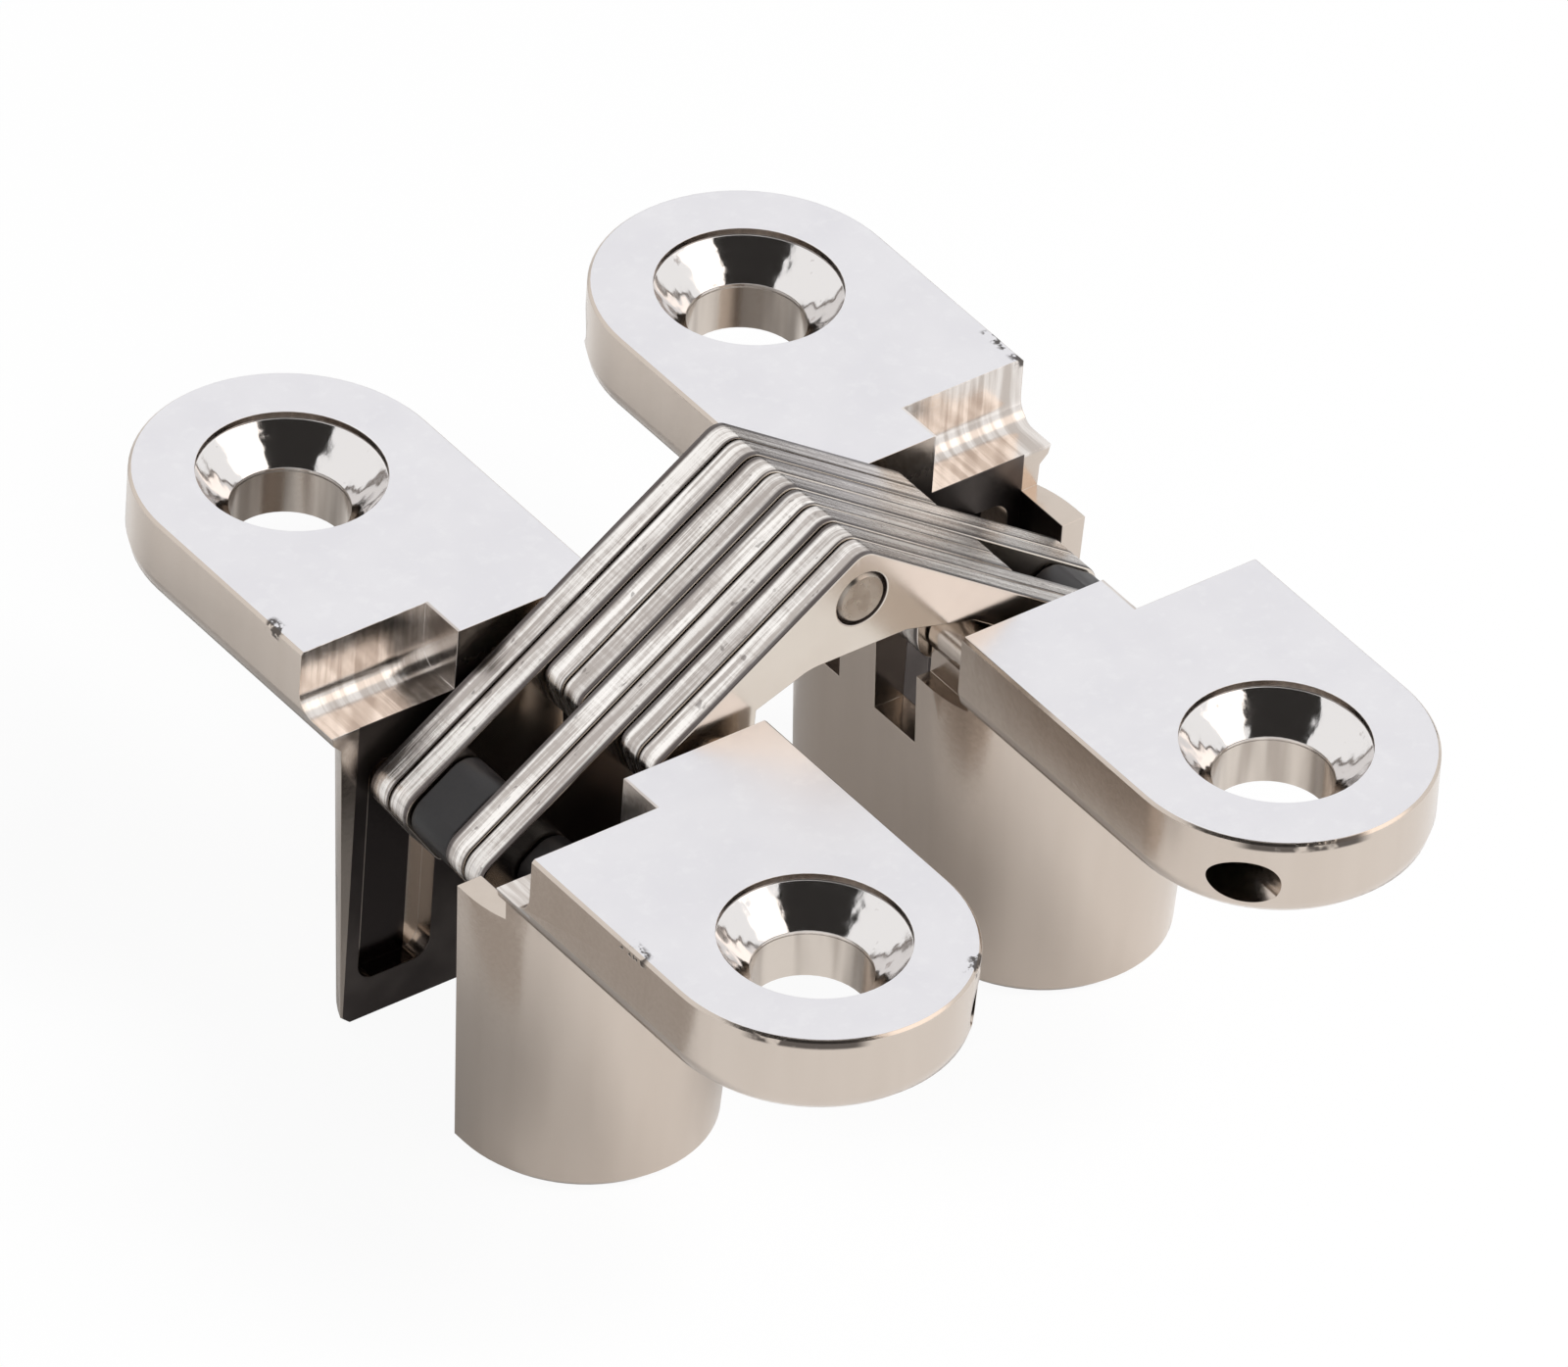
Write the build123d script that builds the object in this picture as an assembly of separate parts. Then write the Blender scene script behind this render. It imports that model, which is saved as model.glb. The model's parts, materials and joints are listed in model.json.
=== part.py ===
from build123d import *
import math
import os

os.makedirs("parts", exist_ok=True)

# Everything is in millimetres. The hinge is drawn fully open with both faces at z = 0,
# x across the two leaves and y along them, and is then lifted to stand on its barrels.

# Flange of a leaf
leaf_width = 12.2
screw_spacing = 32.6
leaf_pitch = 21.17
flange_thickness = 3.7
flange_under_radius = 1.2
flange_under_steps = 3
face_edge_chamfer = 0.12

# Screw holes
head_radius = 3.62
head_rim_depth = 0.3
shank_radius = 2.3
head_cone_depth = head_radius - shank_radius

# Barrel below the flange, narrower towards its bottom
barrel_radius = 5.25
barrel_draft = 2.8
barrel_end_offset = 3.2
barrel_depth = 16.8
barrel_under_chamfer = 0.4
inner_wall = 0.9
outer_wall = 0.5

# Pocket at the face and cavity in the barrel
inner_pocket_half = 5.15
outer_pocket_half = 7.2
pocket_step = 0.45
ledge_depth = 2.7
ledge_fillet = 0.9
opening_near_end = 2.6
outer_wall_top = -4.4
tool_overrun = 2.0

# Link stack: eight plates, numbered from the far end
plate_count = 8
plate_pitch = 1.175
plate_thickness = 1.1

# Pins
centre_pin_radius = 1.15
pivot_pin_radius = 0.8
slider_pin_radius = 0.65
pin_chamfer = 0.2
running_clearance = 0.03
pivot_pin_half_length = 9.5
entry_bore_radius = 0.95
entry_bore_start = 10.0

# Pin centres of the open hinge, in a leaf's own frame: inward from its centreline and up from its face
pivot_in = 4.4
pivot_up = -1.95
slider_in = -1.7
slider_up = -5.4
centre_up = 3.4

# Travel of the slider pin in the leaf's frame
slider_out_limit = -3.43
slider_in_limit = -1.66
slider_deep_limit = -14.23
groove_clearance = 0.12
groove_depth = 0.8
slider_pin_end_play = 0.15

# Outline of a link plate, measured from the centre pin of the open hinge
apex_rise = 2.2
slider_to_top = 2.15
slider_to_end = 2.4
long_arm_width = 4.2
long_arm_belly = 6.3
neck_far = 10.9
neck_near = 7.6
neck_depth = 1.5
waist_drop = 2.4
waist_half = 2.2
shoulder_x = 4.6
shoulder_drop = 3.3
boss_radius = 1.5
short_top_x = 9.3
short_end_x = 8.6
short_end_drop = 6.0
apex_radius = 0.8
end_corner_radius = 1.0
belly_radius = 2.2
short_corner_radius = 0.7

# Knuckles that hold the pivot pin between the short plates
knuckle_radius = 1.05
notch_clearance = 0.12
notch_bottom = -6.9

# Spacers on the slider pins
spacer_gap = 0.06
spacer_set_back = 0.1
end_spacer_clearance = 0.12
spacer_past_pin = 1.3
spacer_corner_radius = 1.0

half_pitch = leaf_pitch / 2
half_width = leaf_width / 2
screw_y = screw_spacing / 2
stack_half = plate_count * plate_pitch / 2
cavity_in = barrel_radius - inner_wall
cavity_out = barrel_radius - outer_wall


def block(x_range, y_range, z_range):
    """Box between two limits on each axis."""
    size = [abs(limits[1] - limits[0]) for limits in (x_range, y_range, z_range)]
    middle = [(limits[0] + limits[1]) / 2 for limits in (x_range, y_range, z_range)]
    return Pos(*middle) * Box(*size)


def rod(x, z, radius, y_from, y_to):
    """Round bar along y."""
    length = y_to - y_from
    return Pos(x, (y_from + y_to) / 2, z) * Rot(90, 0, 0) * Cylinder(radius, length)


def plate_y(number):
    """Middle of a plate along y; plate 1 is the far one."""
    return ((plate_count + 1) / 2 - number) * plate_pitch


def flange_half_section():
    """Half of the flange's section, from its centreline out, with a stepped round below."""
    points = [(0, 0), (half_width - face_edge_chamfer, 0), (half_width, -face_edge_chamfer)]
    for step in range(flange_under_steps + 1):
        angle = step / flange_under_steps * math.pi / 2
        out = half_width - flange_under_radius * (1 - math.cos(angle))
        points.append((out, flange_under_radius * (1 - math.sin(angle)) - flange_thickness))
    points.append((0, -flange_thickness))
    return points


def make_leaf():
    """One leaf in its own frame: the other leaf lies towards +x, the face is z = 0."""
    section = make_face(Polyline(*flange_half_section(), close=True))
    lobe = revolve(Plane.XZ * section, Axis.Z, 180)
    straight = extrude(Plane.XZ * (section + mirror(section, Plane.YZ)), screw_y, both=True)
    far_lobe = Pos(0, screw_y, 0) * lobe
    flange = straight + far_lobe + Rot(0, 0, 180) * far_lobe
    root_radius = barrel_radius + barrel_depth * math.tan(math.radians(barrel_draft))
    barrel_outline = SlotCenterToCenter(2 * barrel_end_offset, 2 * root_radius, rotation=90)
    barrel = extrude(barrel_outline, amount=-barrel_depth, taper=barrel_draft)
    barrel = chamfer(barrel.faces().sort_by(Axis.Z)[0].edges(), barrel_under_chamfer)
    leaf = flange + barrel

    over = tool_overrun
    inner_pocket = block(
        (-pocket_step, half_width + over),
        (-inner_pocket_half, inner_pocket_half),
        (-flange_thickness, over),
    )
    ledge_cut = block(
        (-half_width - over, -pocket_step),
        (-outer_pocket_half, outer_pocket_half),
        (-ledge_depth, over),
    )
    ledge_feet = ledge_cut.faces().sort_by(Axis.Z)[0].edges().filter_by(Axis.X)
    ledge_cut = fillet(ledge_feet, ledge_fillet)
    cavity = block(
        (-cavity_out, cavity_in),
        (-inner_pocket_half, inner_pocket_half),
        (-barrel_depth - over, 0),
    )
    opening = block(
        (-half_width - over, 0),
        (-opening_near_end, inner_pocket_half),
        (-barrel_depth - over, 0),
    )
    wall_cut = block(
        (-half_width - over, 0),
        (-inner_pocket_half, inner_pocket_half),
        (outer_wall_top, over),
    )
    leaf = leaf - inner_pocket - ledge_cut - cavity - opening - wall_cut

    # Knuckles stand where the long plates pass over the pivot pin
    short_plates = ((3, 4), (7, 8))
    knuckle = rod(pivot_in, pivot_up, knuckle_radius, -inner_pocket_half, inner_pocket_half)
    knuckle_foot = block(
        (pivot_in - knuckle_radius, barrel_radius),
        (-inner_pocket_half, inner_pocket_half),
        (-flange_thickness - knuckle_radius, pivot_up),
    )
    foot_round = rod(
        pivot_in - knuckle_radius,
        -flange_thickness - knuckle_radius,
        knuckle_radius,
        -inner_pocket_half,
        inner_pocket_half,
    )
    leaf = leaf + knuckle + (knuckle_foot - foot_round)
    for first, last in short_plates:
        y_high = plate_y(first) + plate_thickness / 2 + notch_clearance
        y_low = plate_y(last) - plate_thickness / 2 - notch_clearance
        notch = block((0, half_width + over), (y_low, y_high), (notch_bottom, over))
        leaf = leaf - notch

    # Grooves of the slider pin in both end walls of the cavity
    reach = slider_pin_radius + groove_clearance
    groove_left = slider_out_limit - reach
    groove_right = slider_in_limit + reach
    groove_top = slider_up + reach
    groove_bottom = slider_deep_limit - reach
    groove_end = inner_pocket_half + groove_depth
    groove = block((groove_left, groove_right), (-groove_end, groove_end), (groove_bottom, groove_top))
    groove = fillet(groove.edges().filter_by(Axis.Y), reach)
    leaf = leaf - groove

    # Pivot pin bore from end to end, wider where the pin is only passed through
    bore_half = screw_y + half_width
    leaf = leaf - rod(pivot_in, pivot_up, pivot_pin_radius, -bore_half, bore_half)
    leaf = leaf - rod(pivot_in, pivot_up, entry_bore_radius, entry_bore_start, bore_half)
    leaf = leaf - rod(pivot_in, pivot_up, entry_bore_radius, -bore_half, -entry_bore_start)

    # Countersunk screw holes with a short straight rim
    for side in (-1, 1):
        rim = Pos(0, side * screw_y, -head_rim_depth / 2) * Cylinder(head_radius, head_rim_depth)
        cone = Pos(0, side * screw_y, -head_rim_depth - head_cone_depth / 2) * Cone(
            shank_radius, head_radius, head_cone_depth
        )
        shank = Pos(0, side * screw_y, -flange_thickness / 2) * Cylinder(shank_radius, flange_thickness)
        leaf = leaf - rim - cone - shank
    return leaf


# Long arm of a plate: straight top edge from the apex, tangent to the end round of the slider pin
slider_dx = slider_in - half_pitch
slider_dz = slider_up - centre_up - apex_rise
slider_reach = math.hypot(slider_dx, slider_dz)
top_angle = math.atan2(slider_dz, slider_dx) - math.asin(slider_to_top / slider_reach)
slider_along = math.sqrt(slider_reach**2 - slider_to_top**2)
long_arm_length = slider_along + slider_to_end
top_slope = math.tan(top_angle)


def on_arm(distance, depth):
    """Point at a distance from the apex along the long arm's top edge and a depth below it."""
    x = distance * math.cos(top_angle) - depth * math.sin(top_angle)
    z = apex_rise + distance * math.sin(top_angle) + depth * math.cos(top_angle)
    return (x, z)


def round_corners(face, corners):
    """Fillet the corner nearest to each given point with its own radius."""
    for point, radius in corners:
        corner = face.vertices().sort_by_distance(Vector(point[0], point[1], 0))[0]
        face = fillet(corner, radius)
    return face


def plate_outline():
    """Plate with its long arm towards -x, its centre pin at the origin and z up, drawn flat."""
    tip_top = on_arm(long_arm_length, 0)
    tip_low = on_arm(long_arm_length, long_arm_width)
    belly = on_arm(long_arm_length - long_arm_belly, long_arm_width)
    neck_out = on_arm(neck_far, neck_depth)
    neck_in = on_arm(neck_near, neck_depth)
    waist_out = (-waist_half, -waist_drop)
    waist_in = (waist_half, -waist_drop)
    shoulder = (shoulder_x, -shoulder_drop)
    pivot = (half_pitch - pivot_in, pivot_up - centre_up)
    boss_side = (pivot[0] - boss_radius, pivot[1])
    boss_low = (pivot[0], pivot[1] - boss_radius)
    short_low = (short_end_x, -short_end_drop)
    short_top = (short_top_x, apex_rise - short_top_x * top_slope)
    corners = [
        (0, apex_rise),
        tip_top,
        tip_low,
        belly,
        neck_out,
        neck_in,
        waist_out,
        waist_in,
        shoulder,
        boss_side,
        boss_low,
        short_low,
        short_top,
    ]
    face = make_face(Polyline(*corners, close=True))
    face = round_corners(
        face,
        [
            ((0, apex_rise), apex_radius),
            (tip_top, end_corner_radius),
            (tip_low, end_corner_radius),
            (belly, belly_radius),
            (neck_out, belly_radius),
            (waist_in, belly_radius),
            (short_low, short_corner_radius),
            (short_top, short_corner_radius),
        ],
    )
    return face + Pos(*pivot) * Circle(boss_radius)


def spacer_outline(top_reach, end_reach):
    """Profile of a spacer by its reach up and out from the slider pin, which limits its corner rounds."""
    pin_along = long_arm_length - slider_to_end
    near = pin_along - spacer_past_pin
    far = pin_along + end_reach
    high = slider_to_top - top_reach
    low = long_arm_width - spacer_set_back
    corners = [on_arm(far, high), on_arm(far, low), on_arm(near, low), on_arm(near, high)]
    face = make_face(Polyline(*corners, close=True))
    return fillet(face.vertices(), min(spacer_corner_radius, end_reach))


def stand_up(face, thickness):
    """Stand a flat outline up in the x-z plane with its thickness centred on y = 0."""
    return extrude(Plane.XZ * face, amount=thickness / 2, both=True)


pivot_point = (half_pitch - pivot_in, pivot_up - centre_up)
slider_point = (slider_in - half_pitch, slider_up - centre_up)


def make_plate(centre_clearance):
    """Link plate with its long arm towards -x, in the frame of the centre pin."""
    face = plate_outline()
    face = face - Circle(centre_pin_radius + centre_clearance)
    face = face - Pos(*pivot_point) * Circle(pivot_pin_radius + running_clearance)
    face = face - Pos(*slider_point) * Circle(slider_pin_radius)
    return stand_up(face, plate_thickness)


def make_spacer(top_reach, end_reach, thickness):
    """Spacer on the slider pin, in the frame of the centre pin."""
    face = spacer_outline(top_reach, end_reach) - Pos(*slider_point) * Circle(slider_pin_radius)
    return stand_up(face, thickness)


stand = Pos(0, 0, barrel_depth)
half_turn = Rot(0, 0, 180)
to_left = Pos(-half_pitch, 0, 0)
to_centre = Pos(0, 0, centre_up)


def save(solid, name):
    """Write one piece, lifted so that the barrels stand on z = 0."""
    export_step(stand * solid, f"parts/{name}.step")


leaf = to_left * make_leaf()
save(leaf, "leaf_left")
save(half_turn * leaf, "leaf_right")

# Plates 1, 2, 5 and 6 reach into the left leaf, plates 3, 4, 7 and 8 into the right one
plate_left_long = to_centre * make_plate(running_clearance)
plate_right_long = half_turn * to_centre * make_plate(0)
for number in (1, 2, 5, 6):
    save(Pos(0, plate_y(number), 0) * plate_left_long, f"link_plate_{number}")
for number in (3, 4, 7, 8):
    save(Pos(0, plate_y(number), 0) * plate_right_long, f"link_plate_{number}")

centre_half = stack_half - (plate_pitch - plate_thickness) / 2
centre_pin = rod(0, centre_up, centre_pin_radius, -centre_half, centre_half)
centre_pin = chamfer(centre_pin.edges().filter_by(GeomType.CIRCLE), pin_chamfer)
save(centre_pin, "centre_pin")

pivot_x = pivot_in - half_pitch
pivot_pin = rod(pivot_x, pivot_up, pivot_pin_radius, -pivot_pin_half_length, pivot_pin_half_length)
save(pivot_pin, "pivot_pin_left")
save(half_turn * pivot_pin, "pivot_pin_right")

slider_half = inner_pocket_half + groove_depth - slider_pin_end_play
slider_pin = rod(slider_in - half_pitch, slider_up, slider_pin_radius, -slider_half, slider_half)
save(slider_pin, "slider_pin_left")
save(half_turn * slider_pin, "slider_pin_right")

# The middle spacer fills the two plate places between the pairs of long arms,
# the end spacer the place between the last long arm and the end wall, clear of the outer wall
middle_width = 2 * plate_pitch + (plate_pitch - plate_thickness) - 2 * spacer_gap
middle_y = (plate_y(3) + plate_y(4)) / 2
middle_top = slider_to_top - spacer_set_back
middle_end = slider_to_end - spacer_set_back
middle_spacer = to_centre * make_spacer(middle_top, middle_end, middle_width)
middle_spacer = Pos(0, middle_y, 0) * middle_spacer
save(middle_spacer, "middle_spacer_left")
save(half_turn * middle_spacer, "middle_spacer_right")

end_high = plate_y(6) - plate_thickness / 2 - spacer_gap
end_low = -inner_pocket_half + 2 * spacer_gap
end_reach = cavity_out + slider_out_limit - end_spacer_clearance
end_spacer = to_centre * make_spacer(end_reach, end_reach, end_high - end_low)
end_spacer = Pos(0, (end_high + end_low) / 2, 0) * end_spacer
save(end_spacer, "end_spacer_left")
save(half_turn * end_spacer, "end_spacer_right")
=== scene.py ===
import bpy
import json
import math
from mathutils import Matrix, Vector


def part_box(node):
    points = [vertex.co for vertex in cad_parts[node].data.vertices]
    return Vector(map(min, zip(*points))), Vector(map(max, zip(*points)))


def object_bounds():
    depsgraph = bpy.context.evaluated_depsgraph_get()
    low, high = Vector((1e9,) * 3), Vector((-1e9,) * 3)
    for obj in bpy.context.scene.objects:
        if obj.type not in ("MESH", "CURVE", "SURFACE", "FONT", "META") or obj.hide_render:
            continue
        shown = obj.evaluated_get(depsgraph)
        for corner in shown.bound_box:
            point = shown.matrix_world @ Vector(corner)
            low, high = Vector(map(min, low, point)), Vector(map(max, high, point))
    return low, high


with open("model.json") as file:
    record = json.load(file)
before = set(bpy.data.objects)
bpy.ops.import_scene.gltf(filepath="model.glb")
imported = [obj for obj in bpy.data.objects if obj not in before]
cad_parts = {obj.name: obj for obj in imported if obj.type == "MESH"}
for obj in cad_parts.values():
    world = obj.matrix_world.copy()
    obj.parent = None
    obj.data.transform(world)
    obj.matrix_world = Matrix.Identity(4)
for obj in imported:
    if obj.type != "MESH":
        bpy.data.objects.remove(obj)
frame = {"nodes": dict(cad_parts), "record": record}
cad_low, cad_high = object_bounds()
nodes = frame["nodes"]
scene = bpy.context.scene
scene.view_settings.view_transform = "Standard"

MM = 0.001
leaf_low, leaf_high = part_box("leaf_left")
face_z = leaf_high.z
floor_z = cad_low.z
leaf_x = -(leaf_low.x + leaf_high.x) / 2

# limits in mm of the surfaces that the materials tell apart, close to the sizes in the CAD source
screw_y, lobe_radius = 16.3, 6.1
rim_radius, shank_radius = 3.60, 2.32
rim_depth, cone_top, cone_bottom, shank_top = 0.28, 0.32, 1.72, 1.75
ledge_reach, ledge_inner, ledge_outer, ledge_depth = 7.21, 0.40, 6.05, 2.75
pocket_reach, pocket_inner, pocket_outer, pocket_shade_depth = 5.16, -4.37, 4.77, 2.6
groove_x, groove_half, groove_start, groove_end, groove_top = 2.55, 0.99, 5.20, 5.97, 3.2
plate_pitch = 1.175

# places on the faces as x, y and radius in mm: small chips, and stretches of edge where a dark line is
# painted as a reflection
small_chips = [(-16.7, -13.4, 0.9), (-6.7, -20.5, 0.8), (16.2, 8.6, 0.9), (16.2, 7.2, 0.6), (-16.4, 9.0, 0.6)]
edge_reflection_arcs = [(-14.4, -20.9, 2.5), (7.9, -21.5, 2.7), (-9.0, 22.3, 1.2)]

# tones of the finishes; where there are two, noise blends them
face_tones = (0.775, 0.765, 0.795, 1), (0.805, 0.795, 0.82, 1)
face_fleck = (0.87, 0.865, 0.88, 1)
wall_tones = (0.61, 0.533, 0.468, 1), (0.63, 0.553, 0.488, 1)
ledge_tones = (0.55, 0.495, 0.455, 1), (0.80, 0.755, 0.72, 1)
cone_tones = (0.80, 0.775, 0.765, 1), (0.50, 0.46, 0.44, 1)
shank_tones = (0.44, 0.385, 0.34, 1), (0.64, 0.575, 0.515, 1)
# painted shade for the pocket, darker deeper in it
pocket_shade_tones = (0.085, 0.072, 0.068, 1), (0.15, 0.13, 0.12, 1)
# painted dark reflection on the steep rim at the top of each countersink
rim_reflection_tone = (0.16, 0.14, 0.13, 1)
# painted shade in the deep slider groove
groove_shade_tone = (0.060, 0.050, 0.048, 1)
# one tone for real plating chips and for the dark lines painted along edges as a reflection
chip_and_reflection_tone = (0.06, 0.05, 0.045, 1)
plate_side_tones = (0.67, 0.60, 0.53, 1), (0.70, 0.635, 0.565, 1)
plate_edge_tones = (0.50, 0.455, 0.425, 1), (1.0, 0.965, 0.93, 1)
plate_edge_dull = (0.30, 0.26, 0.24, 1)
# painted shade along the joints between plates
joint_shade_tone = (0.075, 0.060, 0.058, 1)
pin_tones = (0.42, 0.365, 0.31, 1), (0.52, 0.46, 0.40, 1)
# painted shade on the outer edge of the pins
pin_edge_shade_tone = (0.16, 0.14, 0.125, 1)
nylon_tones = (0.009, 0.008, 0.009, 1), (0.020, 0.018, 0.019, 1)

# camera at the photograph's angle, fitted to the four countersinks
azimuth, elevation, roll = math.radians(-39.151), math.radians(38.1), math.radians(4.152)
camera_distance = 0.86525
target = Vector((-2.702 * MM, -3.795 * MM, face_z))
back = Vector((
    math.sin(azimuth) * math.cos(elevation),
    -math.cos(azimuth) * math.cos(elevation),
    math.sin(elevation),
))
level = Vector((math.cos(azimuth), math.sin(azimuth), 0.0))
upright = level.cross(-back)
right = math.cos(roll) * level + math.sin(roll) * upright
up = -math.sin(roll) * level + math.cos(roll) * upright
camera_data = bpy.data.cameras.new("camera")
camera_data.sensor_width = 36.0
camera_data.lens = 540.0
camera_data.clip_start = 0.05
camera_data.clip_end = 50.0
camera = bpy.data.objects.new("camera", camera_data)
placed = Matrix((right, up, back)).transposed().to_4x4()
placed.translation = target + back * camera_distance
camera.matrix_world = placed
scene.collection.objects.link(camera)
scene.camera = camera


class Graph:
    """Short ways to add nodes to the node tree of a material or world, which it empties first."""

    def __init__(self, owner):
        owner.use_nodes = True
        self.tree = owner.node_tree
        self.tree.nodes.clear()

    def node(self, kind, **settings):
        made = self.tree.nodes.new(kind)
        for name, value in settings.items():
            setattr(made, name, value)
        return made

    def put(self, socket, value):
        """Link a socket, or set it to a plain value."""
        if isinstance(value, bpy.types.NodeSocket):
            self.tree.links.new(value, socket)
        elif value is not None:
            socket.default_value = value

    def math(self, operation, *values):
        made = self.node("ShaderNodeMath", operation=operation)
        for socket, value in zip(made.inputs, values):
            self.put(socket, value)
        return made.outputs[0]

    def product(self, first, *others):
        for other in others:
            first = self.math("MULTIPLY", first, other)
        return first

    def length(self, a, b):
        return self.math("SQRT", self.math("ADD", self.math("POWER", a, 2.0), self.math("POWER", b, 2.0)))

    def ramp(self, value, low, high, to_low=0.0, to_high=1.0):
        """Smooth step from one level to the other between two values, which may fall as well as rise."""
        made = self.node("ShaderNodeMapRange", interpolation_type="SMOOTHSTEP")
        for socket, item in zip(made.inputs, (value, low, high, to_low, to_high)):
            self.put(socket, item)
        return made.outputs[0]

    def under(self, value, size, blur=0.03):
        """1 up to a size in mm, 0 beyond it and its blur."""
        return self.ramp(value, (size + blur) * MM, size * MM)

    def over(self, value, size, blur=0.03):
        """1 from a size in mm on, 0 short of it by its blur."""
        return self.ramp(value, (size - blur) * MM, size * MM)

    def mix(self, factor, a, b):
        made = self.node("ShaderNodeMix", data_type="RGBA")
        self.put(made.inputs[0], factor)
        self.put(made.inputs[6], a)
        self.put(made.inputs[7], b)
        return made.outputs[2]

    def noise(self, vector, scale, detail=3.0, roughness=0.55):
        made = self.node("ShaderNodeTexNoise")
        self.put(made.inputs["Vector"], vector)
        self.put(made.inputs["Scale"], scale)
        self.put(made.inputs["Detail"], detail)
        self.put(made.inputs["Roughness"], roughness)
        return made.outputs["Fac"]

    def drawn_out(self, vector, scale, detail=3.0, roughness=0.55):
        """Noise whose scale differs by axis."""
        made = self.node("ShaderNodeVectorMath", operation="MULTIPLY")
        self.put(made.inputs[0], vector)
        made.inputs[1].default_value = scale
        return self.noise(made.outputs[0], 1.0, detail, roughness)

    def split(self, vector):
        made = self.node("ShaderNodeSeparateXYZ")
        self.put(made.inputs[0], vector)
        return made.outputs

    def bump(self, height, strength, distance, normal=None):
        """Bump of a height in mm on top of another normal."""
        made = self.node("ShaderNodeBump")
        self.put(made.inputs["Height"], height)
        made.inputs["Strength"].default_value = strength
        made.inputs["Distance"].default_value = distance * MM
        self.put(made.inputs["Normal"], normal)
        return made.outputs[0]

    def any_ray(self, first, *others):
        """1 for rays of any of the kinds that are named."""
        path = self.node("ShaderNodeLightPath")
        found = path.outputs[first]
        for kind in others:
            found = self.math("MAXIMUM", found, path.outputs[kind])
        return found


def new_material(name, metallic):
    """Material with a Principled shader, and its graph, shader, object coordinates and normal."""
    material = bpy.data.materials.new(name)
    g = Graph(material)
    shader = g.node("ShaderNodeBsdfPrincipled")
    shader.inputs["Metallic"].default_value = metallic
    g.put(g.node("ShaderNodeOutputMaterial").inputs[0], shader.outputs[0])
    coordinate = g.node("ShaderNodeTexCoord")
    return material, g, shader, coordinate.outputs["Object"], coordinate.outputs["Normal"]


def spots(g, x, y, places):
    """Mask of circles that fades over the outer part of each."""
    ground = g.node("ShaderNodeCombineXYZ")
    g.put(ground.inputs[0], x)
    g.put(ground.inputs[1], y)
    total = 0.0
    for spot_x, spot_y, radius in places:
        away = g.node("ShaderNodeVectorMath", operation="DISTANCE")
        g.put(away.inputs[0], ground.outputs[0])
        away.inputs[1].default_value = (spot_x * MM, spot_y * MM, 0)
        total = g.math("MAXIMUM", total, g.under(away.outputs["Value"], radius * 0.7, radius * 0.3))
    return total


def leaf_regions(g, place, normal):
    """Masks of the surfaces of either leaf, told apart by their places."""
    x, y, z = g.split(place)
    facing = g.split(normal)[2]
    off_middle = g.math("ABSOLUTE", y)
    across = g.math("SUBTRACT", g.math("ABSOLUTE", x), leaf_x)
    along = g.math("SUBTRACT", off_middle, screw_y * MM)
    depth = g.math("SUBTRACT", face_z, z)
    to_hole = g.length(across, along)
    round_end = g.length(across, g.math("MAXIMUM", along, 0.0))
    to_edge = g.math("ABSOLUTE", g.math("SUBTRACT", lobe_radius * MM, round_end))
    off_groove = g.math("ABSOLUTE", g.math("SUBTRACT", across, groove_x * MM))
    in_rim = g.under(to_hole, rim_radius, 0.06)

    small = g.product(
        spots(g, x, y, small_chips),
        g.under(to_edge, 0.30, 0.25),
        g.ramp(g.noise(place, 1300.0, 3.0, 0.7), 0.46, 0.53),
    )
    # painted dark reflection lines along stretches of the lobe edges
    lines = g.product(
        spots(g, x, y, edge_reflection_arcs),
        g.under(to_edge, 0.08, 0.05),
        g.ramp(g.noise(place, 700.0, 3.0, 0.7), 0.34, 0.46),
    )
    return {
        "face": g.product(g.ramp(facing, 0.80, 0.97), g.under(depth, 0.10, 0.15)),
        "ledge": g.product(
            g.under(off_middle, ledge_reach),
            g.over(across, ledge_inner, 0.10),
            g.under(depth, ledge_depth, 0.15),
            g.under(across, ledge_outer),
        ),
        "cone": g.product(in_rim, g.over(depth, cone_top, 0.08), g.under(depth, cone_bottom, 0.08)),
        "shank": g.product(g.under(to_hole, shank_radius, 0.04), g.over(depth, shank_top, 0.20)),
        # the rim mask carries a painted dark reflection
        "rim": g.product(in_rim, g.under(depth, rim_depth, 0.06), g.ramp(facing, 0.6, 0.3)),
        # painted shade that grows over 2 mm of depth into the pocket
        "pocket": g.product(
            g.under(off_middle, pocket_reach),
            g.over(across, pocket_inner),
            g.under(across, pocket_outer),
            g.over(depth, pocket_shade_depth, 2.0),
        ),
        # the groove mask carries painted shade
        "groove": g.product(
            g.under(off_groove, groove_half),
            g.under(off_middle, groove_end),
            g.over(off_middle, groove_start),
            g.over(depth, groove_top, 0.40),
        ),
        "chip_and_edge_reflection": g.product(g.math("MAXIMUM", small, lines), g.under(depth, 0.30, 0.12)),
    }


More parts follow.
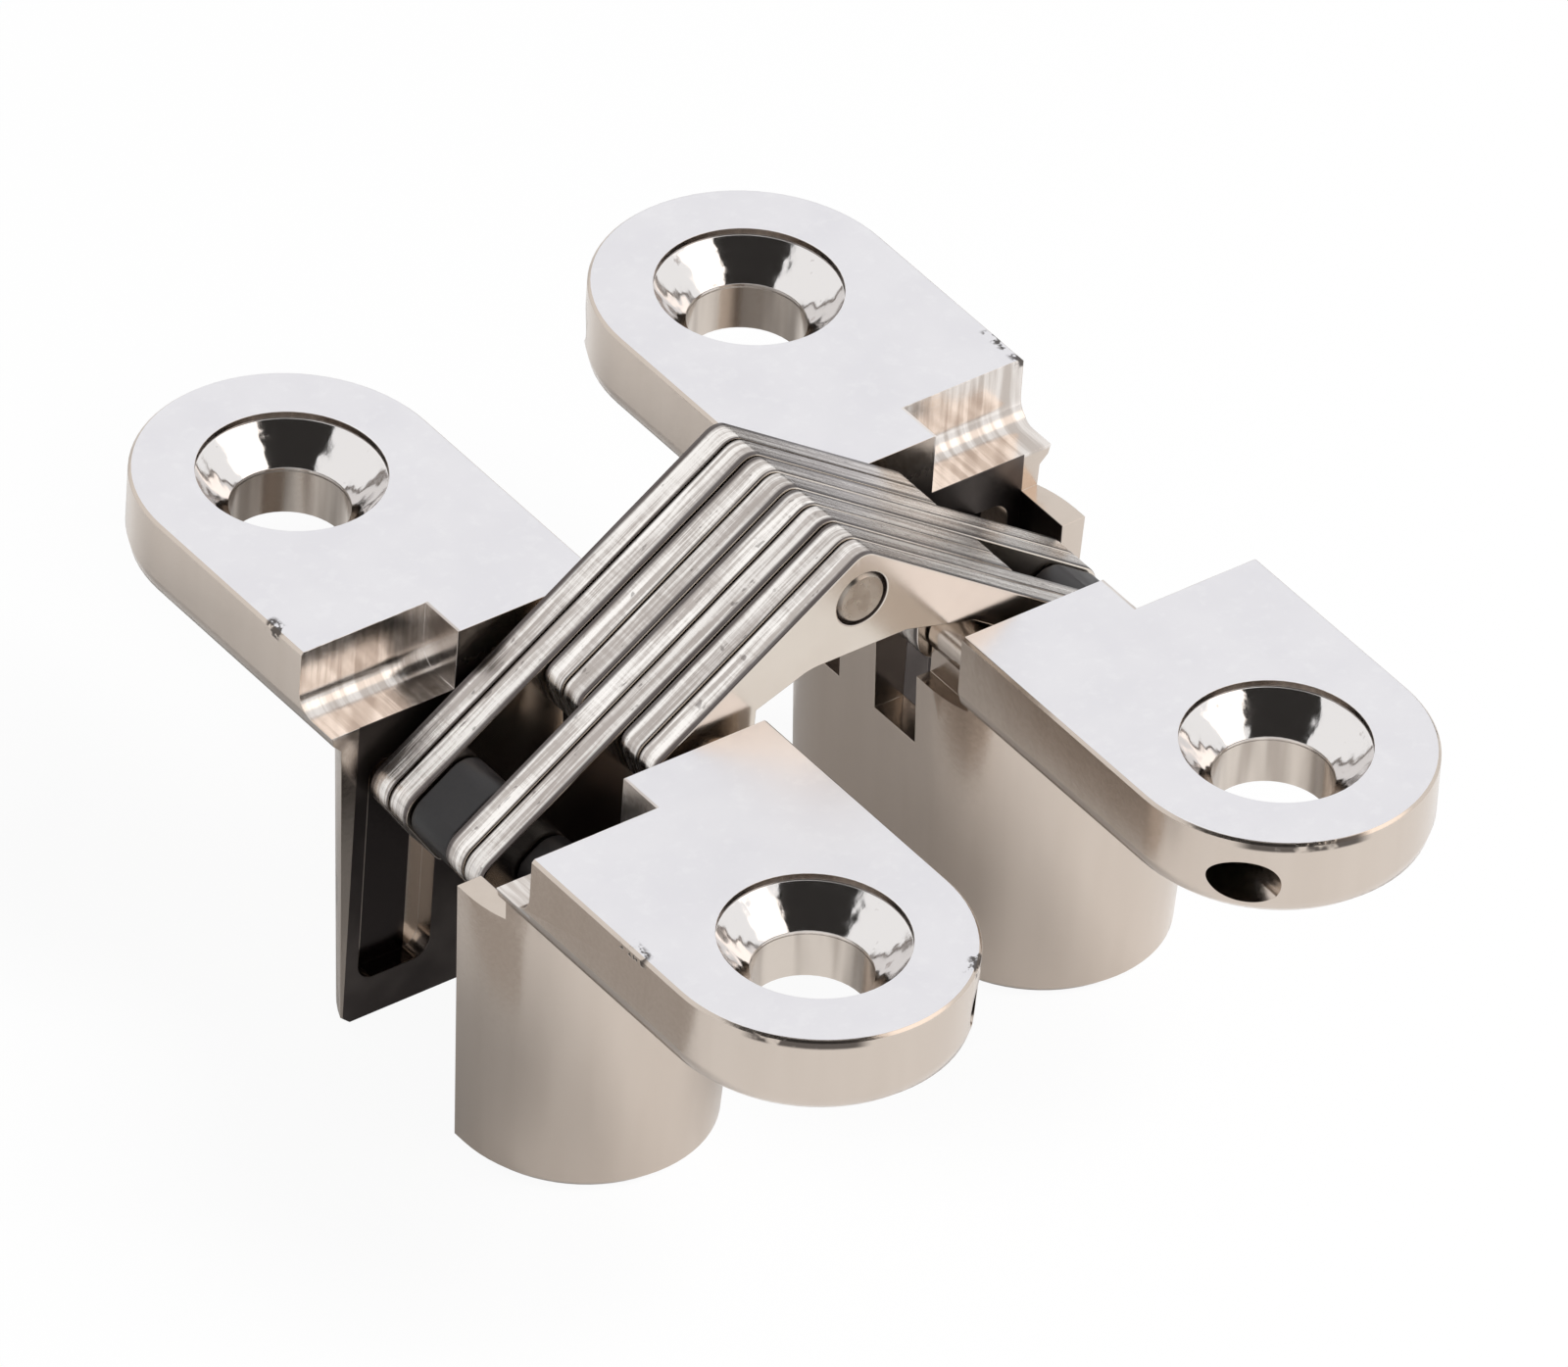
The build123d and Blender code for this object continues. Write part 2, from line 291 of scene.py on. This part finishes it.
def casting_material():
    """Nickel-plated zinc: satin face, smooth warm walls, bright countersinks, painted shade in the pocket and
    the groove, a painted dark reflection on the countersink rims, edge chips and painted dark reflection
    lines along some edges.
    """
    material, g, shader, place, normal = new_material("plated_casting", 1.0)
    region = leaf_regions(g, place, normal)
    grain = g.noise(place, 5200.0, 4.0)
    cloud = g.noise(place, 300.0, 2.0)
    mottle = g.noise(place, 1700.0)
    drawn = g.drawn_out(place, (900.0, 900.0, 90.0), 2.0)
    streaks = g.drawn_out(place, (2600.0, 160.0, 160.0))

    fleck = g.math("MULTIPLY", g.ramp(mottle, 0.5, 0.75), 0.30)
    layers = [
        (region["face"], g.mix(fleck, g.mix(g.ramp(cloud, 0.3, 0.7), *face_tones), face_fleck)),
        (region["ledge"], g.mix(g.ramp(streaks, 0.38, 0.62), *ledge_tones)),
        (region["cone"], g.mix(g.ramp(mottle, 0.66, 0.78), *cone_tones)),
        (region["shank"], g.mix(g.ramp(drawn, 0.4, 0.62), *shank_tones)),
        (region["rim"], rim_reflection_tone),
        (region["pocket"], g.mix(g.ramp(cloud, 0.4, 0.7), *pocket_shade_tones)),
        (region["groove"], groove_shade_tone),
        (g.math("MULTIPLY", region["chip_and_edge_reflection"], 0.9), chip_and_reflection_tone),
    ]
    colour = g.mix(g.ramp(drawn, 0.3, 0.7), *wall_tones)
    for mask, tone in layers:
        colour = g.mix(mask, colour, tone)
    g.put(shader.inputs["Base Color"], colour)

    rough = g.ramp(grain, 0.25, 0.75, 0.17, 0.23)
    dull = g.math("MAXIMUM", region["chip_and_edge_reflection"], region["pocket"])
    for mask, more in ((region["face"], 0.13), (region["cone"], -0.10), (dull, 0.15)):
        rough = g.math("MULTIPLY_ADD", mask, more, rough)
    g.put(shader.inputs["Roughness"], rough)

    fine = g.bump(grain, 0.10, 0.02)
    waves = g.bump(cloud, 0.10, 0.10, fine)
    lumps = g.bump(g.math("MULTIPLY", g.noise(place, 520.0, 2.0), region["cone"]), 0.8, 0.15, waves)
    brushed = g.bump(g.math("MULTIPLY", streaks, region["ledge"]), 0.2, 0.03, lumps)
    chipped = g.bump(g.math("SUBTRACT", 1.0, region["chip_and_edge_reflection"]), 0.35, 0.04, brushed)
    g.put(shader.inputs["Normal"], chipped)
    return material


def link_material():
    """Nickel-plated link plates: flat bright sides, sheared edges with lengthwise lines and painted shade at
    the joints.
    """
    material, g, shader, place, normal = new_material("plated_link", 1.0)
    y = g.split(place)[1]
    rim = g.ramp(g.math("ABSOLUTE", g.split(normal)[1]), 0.90, 0.45)

    def to_joint(pitch):
        """Way to the nearest whole multiple of a pitch in mm, where plates meet, as a share of the pitch."""
        share = g.math("FRACT", g.math("ADD", g.math("DIVIDE", y, pitch * MM), 0.5))
        return g.math("ABSOLUTE", g.math("SUBTRACT", share, 0.5))

    # painted shade in the creases where plates and pairs of plates meet
    plate_joint = g.ramp(to_joint(plate_pitch), 0.15, 0.07)
    pair_joint = g.ramp(to_joint(2 * plate_pitch), 0.15, 0.08)
    joint = g.math("MAXIMUM", plate_joint, pair_joint)
    ticks = g.drawn_out(place, (6500.0, 420.0, 6500.0), 3.0, 0.7)
    strands = g.drawn_out(place, (170.0, 4200.0, 170.0), 3.0, 0.65)
    brush = g.math("ADD", g.math("MULTIPLY", ticks, 0.16), g.math("MULTIPLY", strands, 0.84))
    cloud = g.noise(place, 380.0)
    nick = g.ramp(g.drawn_out(place, (1500.0, 2600.0, 1500.0), 2.0), 0.66, 0.72)
    plate_by_plate = g.drawn_out(place, (0.0, 800.0, 0.0), 0.0)

    side = g.mix(g.ramp(cloud, 0.3, 0.7), *plate_side_tones)
    edge = g.mix(g.ramp(brush, 0.40, 0.60), *plate_edge_tones)
    edge = g.mix(g.ramp(plate_by_plate, 0.30, 0.55, 0.30, 0.0), edge, plate_edge_dull)
    dark = g.math("MAXIMUM", g.math("MULTIPLY", joint, 0.92), g.math("MULTIPLY", nick, 0.5))
    colour = g.mix(g.math("MULTIPLY", rim, dark), g.mix(rim, side, edge), joint_shade_tone)
    g.put(shader.inputs["Base Color"], colour)

    rough = g.math("ADD", g.ramp(brush, 0.3, 0.7, 0.15, 0.27), g.math("MULTIPLY", rim, 0.05))
    g.put(shader.inputs["Roughness"], rough)
    height = g.math("MULTIPLY", brush, g.math("MULTIPLY_ADD", rim, 0.92, 0.08))
    g.put(shader.inputs["Normal"], g.bump(cloud, 0.08, 0.05, g.bump(height, 0.5, 0.05)))
    return material


def pin_material():
    """Turned steel pins with faint rings, a slight dish on their ends and painted shade on their outer edge.
    """
    material, g, shader, place, _ = new_material("steel_pin", 1.0)
    x, _, z = g.split(place)
    low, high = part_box("centre_pin")
    radius = g.length(x, g.math("SUBTRACT", z, (low.z + high.z) / 2))
    rings = g.noise(g.math("MULTIPLY", radius, 9000.0), 1.0, 2.0)
    cloud = g.noise(place, 900.0)
    # painted shade towards the outer edge of the pin
    rim = g.math("MULTIPLY", g.over(radius, 1.06, 0.20), 0.55)

    colour = g.mix(g.ramp(cloud, 0.35, 0.7), *pin_tones)
    g.put(shader.inputs["Base Color"], g.mix(rim, colour, pin_edge_shade_tone))
    g.put(shader.inputs["Roughness"], g.ramp(cloud, 0.3, 0.7, 0.22, 0.34))
    turned = g.bump(rings, 0.25, 0.02)
    dished = g.bump(g.over(radius, 1.0, 0.8), 0.5, 0.08, turned)
    g.put(shader.inputs["Normal"], g.bump(cloud, 0.2, 0.03, dished))
    return material


def nylon_material():
    """Black moulded nylon with a faint sheen and grain."""
    material, g, shader, place, _ = new_material("black_nylon", 0.0)
    cloud = g.noise(place, 900.0)
    grain = g.noise(place, 9000.0, 2.0)
    g.put(shader.inputs["Base Color"], g.mix(g.ramp(cloud, 0.3, 0.7), *nylon_tones))
    g.put(shader.inputs["Roughness"], g.ramp(cloud, 0.3, 0.7, 0.36, 0.50))
    g.put(shader.inputs["Normal"], g.bump(grain, 0.2, 0.02))
    return material


def round_edges(piece, width):
    """Round the edges, as the plating leaves them, after merging what the CAD mesh splits."""
    weld = piece.modifiers.new("weld", "WELD")
    weld.merge_threshold = 0.0005 * MM
    flat = piece.modifiers.new("flat", "DECIMATE")
    flat.decimate_type = "DISSOLVE"
    flat.angle_limit = math.radians(0.4)
    rounding = piece.modifiers.new("round", "BEVEL")
    rounding.width = width
    rounding.segments = 3
    rounding.limit_method = "ANGLE"
    rounding.angle_limit = math.radians(32)
    shade = piece.modifiers.new("shade", "WEIGHTED_NORMAL")
    shade.weight = 60


materials = {
    "plated_casting": casting_material(),
    "plated_link": link_material(),
    "steel_pin": pin_material(),
    "black_nylon": nylon_material(),
}
# the pins keep the chamfers of the CAD
edge_widths = {"plated_casting": 0.10 * MM, "plated_link": 0.24 * MM, "black_nylon": 0.15 * MM}
slot_of = {entry["node"]: entry["material_slot"] for entry in frame["record"]["subparts"]}
for name, piece in nodes.items():
    slot = slot_of[name]
    piece.data.materials.clear()
    piece.data.materials.append(materials[slot])
    if slot in edge_widths:
        round_edges(piece, edge_widths[slot])


# floor, which takes shadows and is nearly white to the camera
floor_reach, floor_gap = 6.0, 0.02 * MM
floor_seen, floor_mirrored = 0.94, 0.15
floor_mesh = bpy.data.meshes.new("floor")
corners = [(-1, -1), (1, -1), (1, 1), (-1, 1)]
floor_mesh.from_pydata([(x * floor_reach, y * floor_reach, 0) for x, y in corners], [], [(0, 1, 2, 3)])
floor = bpy.data.objects.new("floor", floor_mesh)
floor.location.z = floor_z - floor_gap
scene.collection.objects.link(floor)
floor_material = bpy.data.materials.new("floor")
g = Graph(floor_material)
matt = g.node("ShaderNodeBsdfDiffuse")
matt.inputs["Color"].default_value = (0.86, 0.86, 0.86, 1)
glow = g.node("ShaderNodeEmission")
glow.inputs["Color"].default_value = (1, 1, 1, 1)
blend = g.node("ShaderNodeMixShader")
to_camera = g.math("MULTIPLY", g.any_ray("Is Camera Ray"), floor_seen)
to_mirror = g.math("MULTIPLY", g.any_ray("Is Glossy Ray", "Is Transmission Ray"), floor_mirrored)
g.put(blend.inputs[0], g.math("MAXIMUM", to_camera, to_mirror))
g.put(blend.inputs[1], matt.outputs[0])
g.put(blend.inputs[2], glow.outputs[0])
g.put(g.node("ShaderNodeOutputMaterial").inputs[0], blend.outputs[0])
floor_mesh.materials.append(floor_material)

# world, white where it is seen and softer as a light
world_light = 0.40
world = bpy.data.worlds.new("studio")
scene.world = world
g = Graph(world)
sky = g.node("ShaderNodeBackground")
sky.inputs["Color"].default_value = (1, 1, 1, 1)
seen = g.any_ray("Is Camera Ray", "Is Glossy Ray", "Is Transmission Ray")
g.put(sky.inputs["Strength"], g.math("MULTIPLY_ADD", seen, 1.0 - world_light, world_light))
g.put(g.node("ShaderNodeOutputWorld").inputs[0], sky.outputs[0])


def beyond(direction, distance):
    """Point at a distance in a direction from the middle of the faces."""
    return Vector(direction).normalized() * distance + Vector((0, 0, face_z))


def stand(holder, location, direction):
    """Add a lamp or board to the scene, with its back turned to a direction."""
    holder.location = location
    holder.rotation_mode = "QUATERNION"
    holder.rotation_quaternion = Vector(direction).normalized().to_track_quat("Z", "Y")
    scene.collection.objects.link(holder)


def board(name, location, direction, width, height, brightness):
    """Slightly warm board of an even tone that only reflections see."""
    mesh = bpy.data.meshes.new(name)
    mesh.from_pydata([(x * width / 2, y * height / 2, 0) for x, y in corners], [], [(0, 1, 2, 3)])
    piece = bpy.data.objects.new(name, mesh)
    stand(piece, location, direction)
    material = bpy.data.materials.new(name)
    g = Graph(material)
    tone = g.node("ShaderNodeEmission")
    tone.inputs["Color"].default_value = (brightness, brightness * 0.93, brightness * 0.87, 1)
    g.put(g.node("ShaderNodeOutputMaterial").inputs[0], tone.outputs[0])
    mesh.materials.append(material)
    piece.visible_camera = False
    piece.visible_diffuse = False
    piece.visible_shadow = False
    piece.visible_transmission = False


# soft lamp at the front right, which lights the floor and the nylon and doesn't show in the metal
lamp = bpy.data.lights.new("key", "AREA")
lamp.shape = "SQUARE"
lamp.size = 0.25
lamp.energy = 3.9
key = bpy.data.objects.new("key", lamp)
key.visible_glossy = False
key_side = (0.50, -0.60, 0.80)
stand(key, beyond(key_side, 0.6), key_side)

# boards that the metal mirrors: a dark one behind the camera, a bright card at the front right,
# a dark one low at the right and a grey one on the floor at the left
camera_side, card_side, low_side = (-0.387, -0.474, 0.784), (0.497, -0.610, 0.62), (0.760, 0.610, -0.06)
board("screen_camera", beyond(camera_side, 0.7), camera_side, 1.10, 0.46, 0.03)
board("card_front_right", beyond(card_side, 0.7), card_side, 0.50, 0.36, 1.7)
board("screen_right_slope", beyond(low_side, 0.085), low_side, 0.10, 0.026, 0.12)
# painted shade: the grey board darkens the floor at the left as the metal mirrors it
floor_patch = Vector((-31.5 * MM, 3.0 * MM, floor_z + 0.1 * MM))
board("screen_floor_left", floor_patch, (0, 0, 1), 0.014, 0.018, 0.46)
